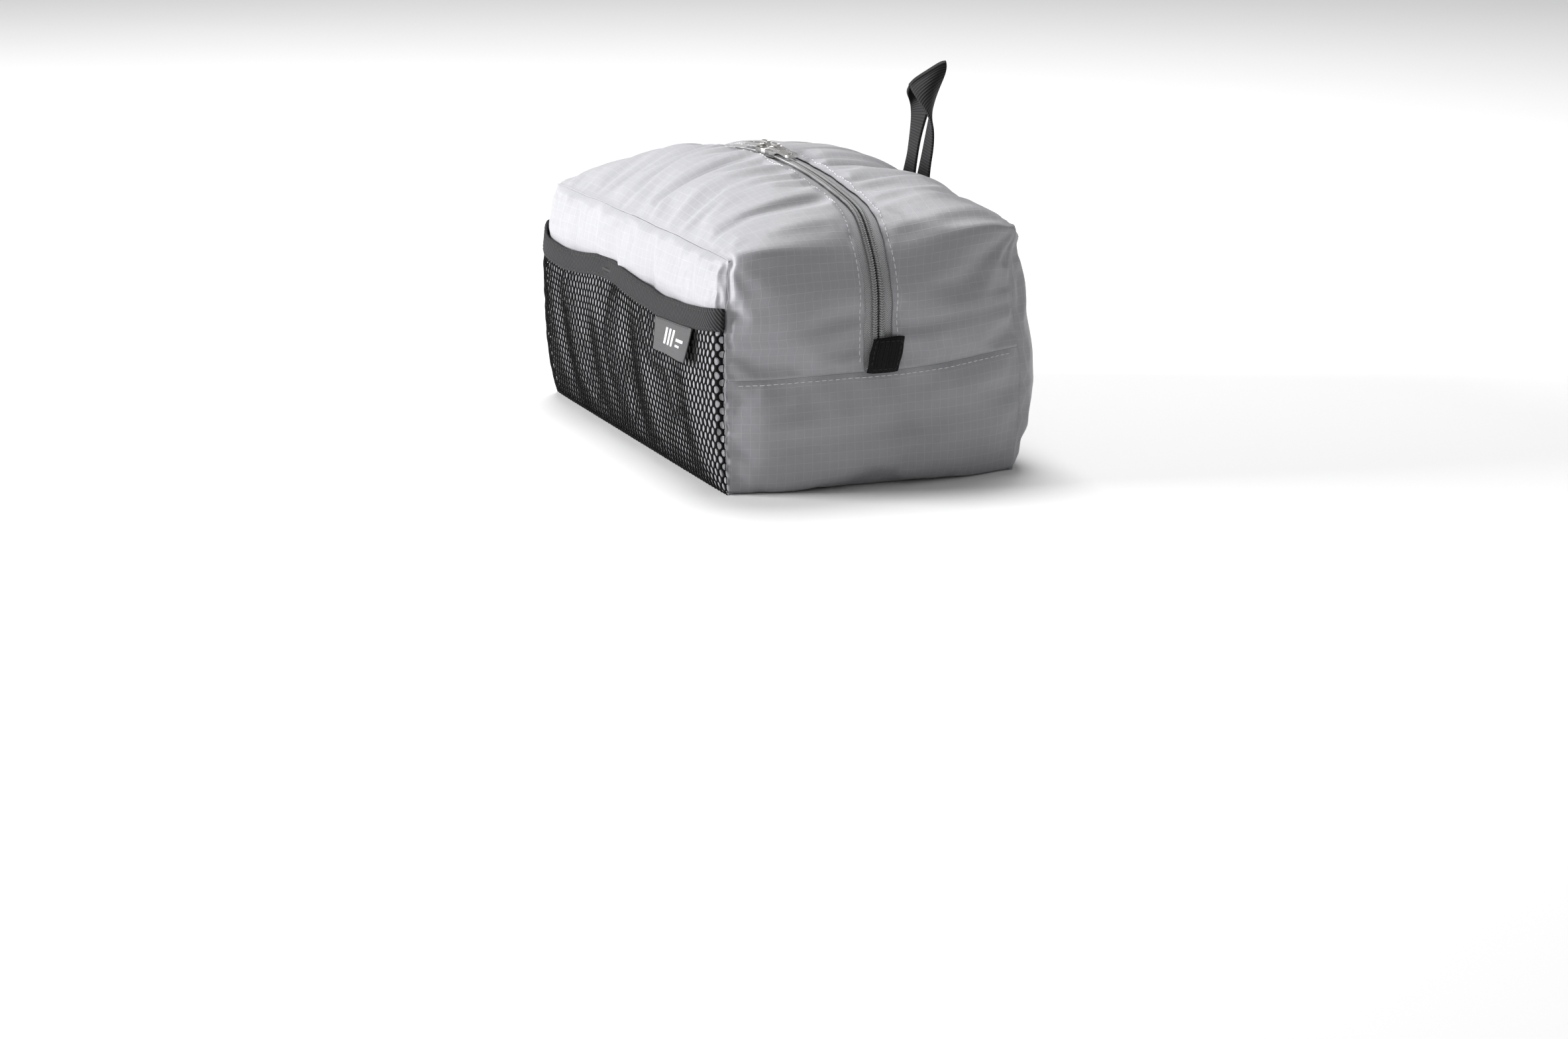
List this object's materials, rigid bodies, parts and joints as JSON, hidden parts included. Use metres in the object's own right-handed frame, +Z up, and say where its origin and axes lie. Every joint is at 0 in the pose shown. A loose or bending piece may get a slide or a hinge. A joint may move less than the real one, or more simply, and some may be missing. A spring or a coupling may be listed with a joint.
{
  "type": "packing cube",
  "caption": "Soft zip-up packing cube with a mesh side pocket, a double-slider zip over the top and a webbing carry loop.",
  "frame": {"origin": "middle of the base, on the surface that the cube stands on", "axes": "+X along the cube and its zip, -Y towards the side with the mesh pocket, +Z up"},
  "size_m": [0.3138, 0.1854, 0.2017],
  "materials": {
    "ripstop": "matte",
    "pocket_mesh": "matte",
    "binding": "matte",
    "webbing": "matte",
    "zip_tape": "matte",
    "zip_coil": "satin",
    "slider_metal": "polished",
    "label": "matte",
    "seam_tape": "matte"
  },
  "bodies": {
    "bag": {"back_coil_ends": "zip_coil", "back_panel": "ripstop", "back_seam_tape": "seam_tape", "back_tape_ends": "zip_tape", "bottom_band": "ripstop", "front_coil_ends": "zip_coil", "front_panel": "ripstop", "front_seam_tape": "seam_tape", "front_tape_ends": "zip_tape", "handle_anchor": "webbing", "left_back_gusset": "ripstop", "left_front_gusset": "ripstop", "left_zip_tab": "webbing", "right_back_gusset": "ripstop", "right_front_gusset": "ripstop", "right_zip_tab": "webbing"},
    "front_flap": {"top_front_panel": "ripstop", "top_front_tape": "zip_tape", "top_front_coil": "zip_coil"},
    "back_flap": {"top_back_panel": "ripstop", "top_back_tape": "zip_tape", "top_back_coil": "zip_coil"},
    "right_slider": {"right_slider": "slider_metal"},
    "left_slider": {"left_slider": "slider_metal"},
    "right_puller": {"right_puller": "slider_metal"},
    "left_puller": {"left_puller": "slider_metal"},
    "pocket": {"mesh_pocket": "pocket_mesh", "pocket_binding": "binding"},
    "label": {"woven_label": "label"},
    "handle": {"webbing_handle": "webbing"}
  },
  "joints": [
    {"name": "right_slider_travel", "type": "hinge", "parent": "bag", "child": "right_slider", "pos_m": [0, 0, -0.407], "axis": [0, 1, 0], "range_deg": [0, 10.7], "deforming": ["top_front_tape", "top_front_coil", "top_back_tape", "top_back_coil"]},
    {"name": "left_slider_travel", "type": "hinge", "parent": "bag", "child": "left_slider", "pos_m": [0, 0, -0.407], "axis": [0, 1, 0], "range_deg": [-9.3, 0]},
    {"name": "front_flap_opening", "type": "hinge", "parent": "bag", "child": "front_flap", "pos_m": [0, -0.08, 0.1225], "axis": [1, 0, 0], "range_deg": [0, 45]},
    {"name": "back_flap_opening", "type": "hinge", "parent": "bag", "child": "back_flap", "pos_m": [0, 0.08, 0.1295], "axis": [-1, 0, 0], "range_deg": [0, 45]},
    {"name": "right_puller_swing", "type": "hinge", "parent": "right_slider", "child": "right_puller", "pos_m": [0.0002, 0, 0.1571], "axis": [0, -1, 0], "range_deg": [0, 150]},
    {"name": "left_puller_swing", "type": "hinge", "parent": "left_slider", "child": "left_puller", "pos_m": [-0.0143, 0, 0.15692], "axis": [0, 1, 0], "range_deg": [0, 150]},
    {"name": "handle_fold", "type": "hinge", "parent": "bag", "child": "handle", "pos_m": [0.006, 0.0826, 0.1305], "axis": [-1, 0, 0], "range_deg": [0, 110], "stiffness_Nm_per_rad": 0.01},
    {"name": "pocket_mouth", "type": "hinge", "parent": "bag", "child": "pocket", "pos_m": [0, -0.0812, 0.001], "axis": [1, 0, 0], "range_deg": [0, 12], "stiffness_Nm_per_rad": 0.1},
    {"name": "label_flip", "type": "hinge", "parent": "pocket", "child": "label", "pos_m": [0.089, -0.09047, 0.0836], "axis": [-0.9974, -0.0726, 0], "range_deg": [0, 80]}
  ],
  "couplings": [
    {"joint": "left_slider_travel", "follows": "right_slider_travel", "ratio": -0.8691},
    {"joint": "front_flap_opening", "follows": "right_slider_travel", "ratio": 4.2},
    {"joint": "back_flap_opening", "follows": "right_slider_travel", "ratio": 4.2}
  ]
}
